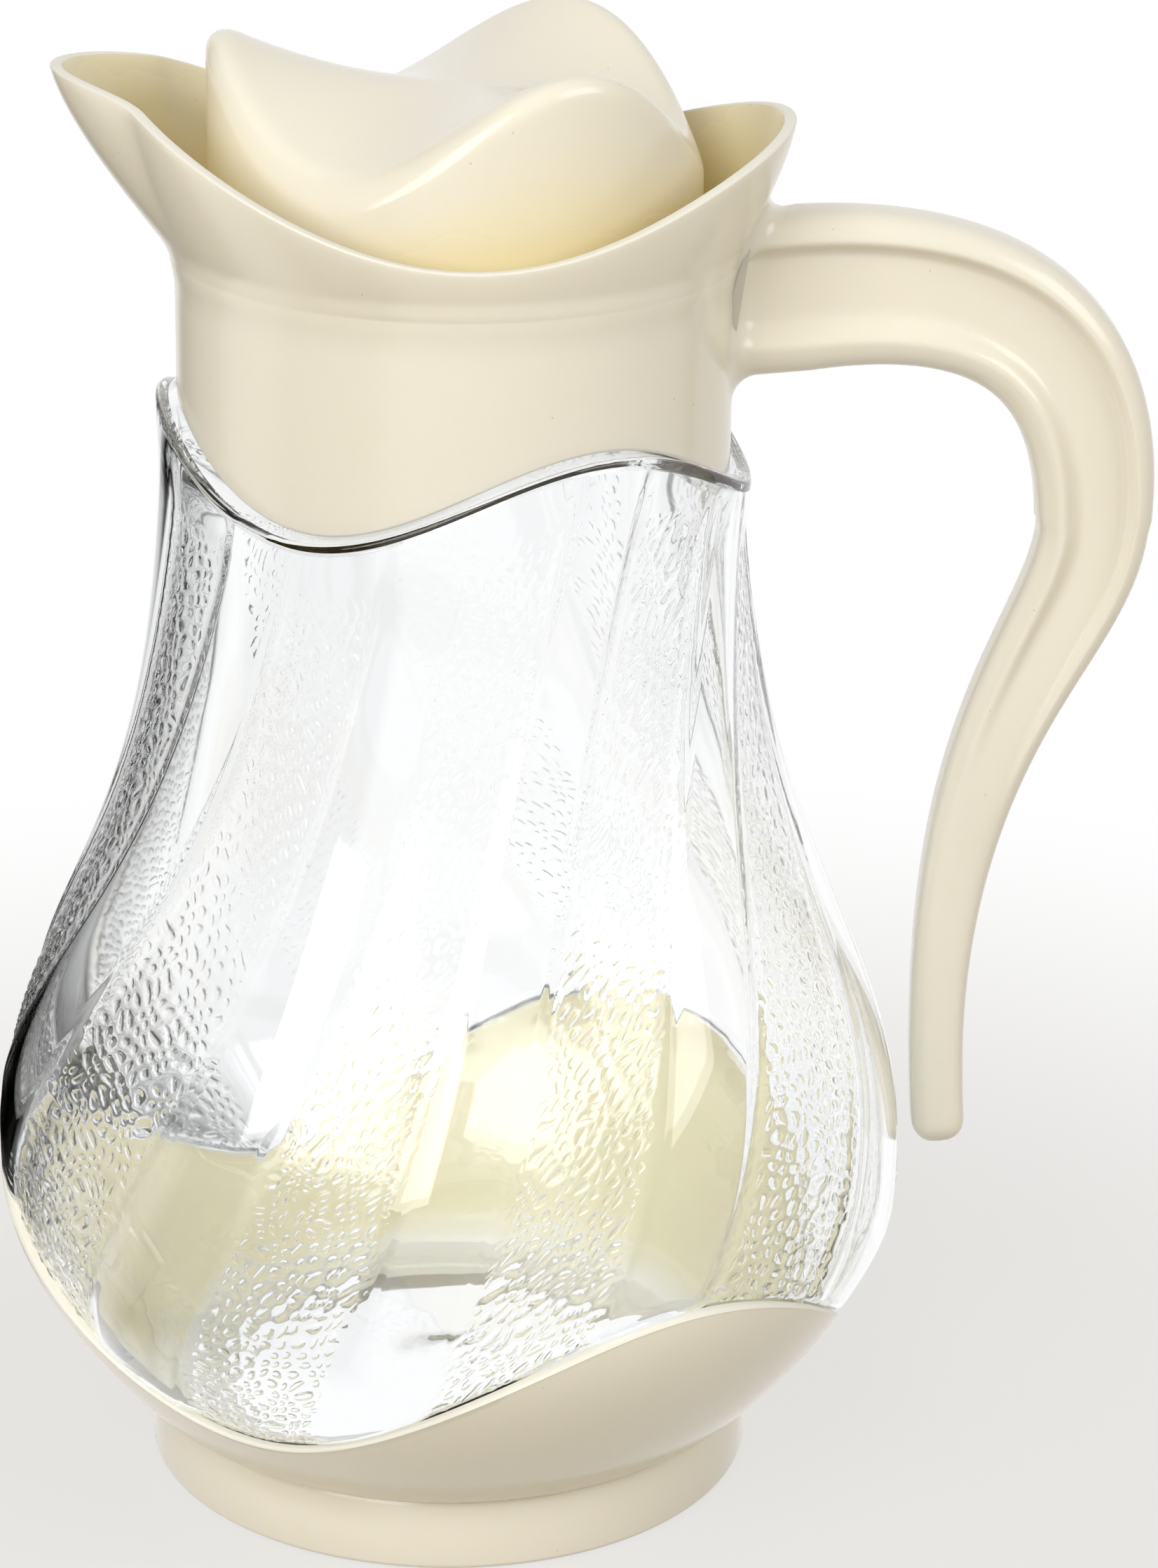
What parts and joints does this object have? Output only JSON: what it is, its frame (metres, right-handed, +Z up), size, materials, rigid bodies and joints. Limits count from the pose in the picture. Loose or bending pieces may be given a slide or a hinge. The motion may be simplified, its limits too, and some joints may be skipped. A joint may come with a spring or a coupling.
{
  "type": "plastic jug with lid",
  "caption": "Pear-shaped clear jug with twisted flutes in a wavy cream cup foot, a cream collar with beaked spout and open hook handle, and a loose lift-off lid.",
  "frame": {"origin": "on the table under the middle of the whole jug, half way from the belly on the spout side to the outside of the handle", "axes": "+Z up, +X towards the handle, +Y to the left of someone who looks along +X"},
  "size_m": [0.1996, 0.1616, 0.2553],
  "materials": {
    "cream_base": "smooth moulded cream, soft gloss",
    "clear": "clear colourless, polished petals between pebbled strips",
    "cream_collar": "smooth moulded cream, soft gloss, pale flat lip",
    "cream_lid": "smooth moulded cream, glossy, slightly translucent"
  },
  "bodies": {
    "jug": {"base_cup": "cream_base", "clear_body": "clear", "spout_collar": "cream_collar"},
    "lid": {"lid": "cream_lid"}
  },
  "joints": [
    {"name": "lid_lift", "type": "slide", "parent": "jug", "child": "lid", "axis": [0, 0, 1], "range_m": [0, 0.06]}
  ]
}
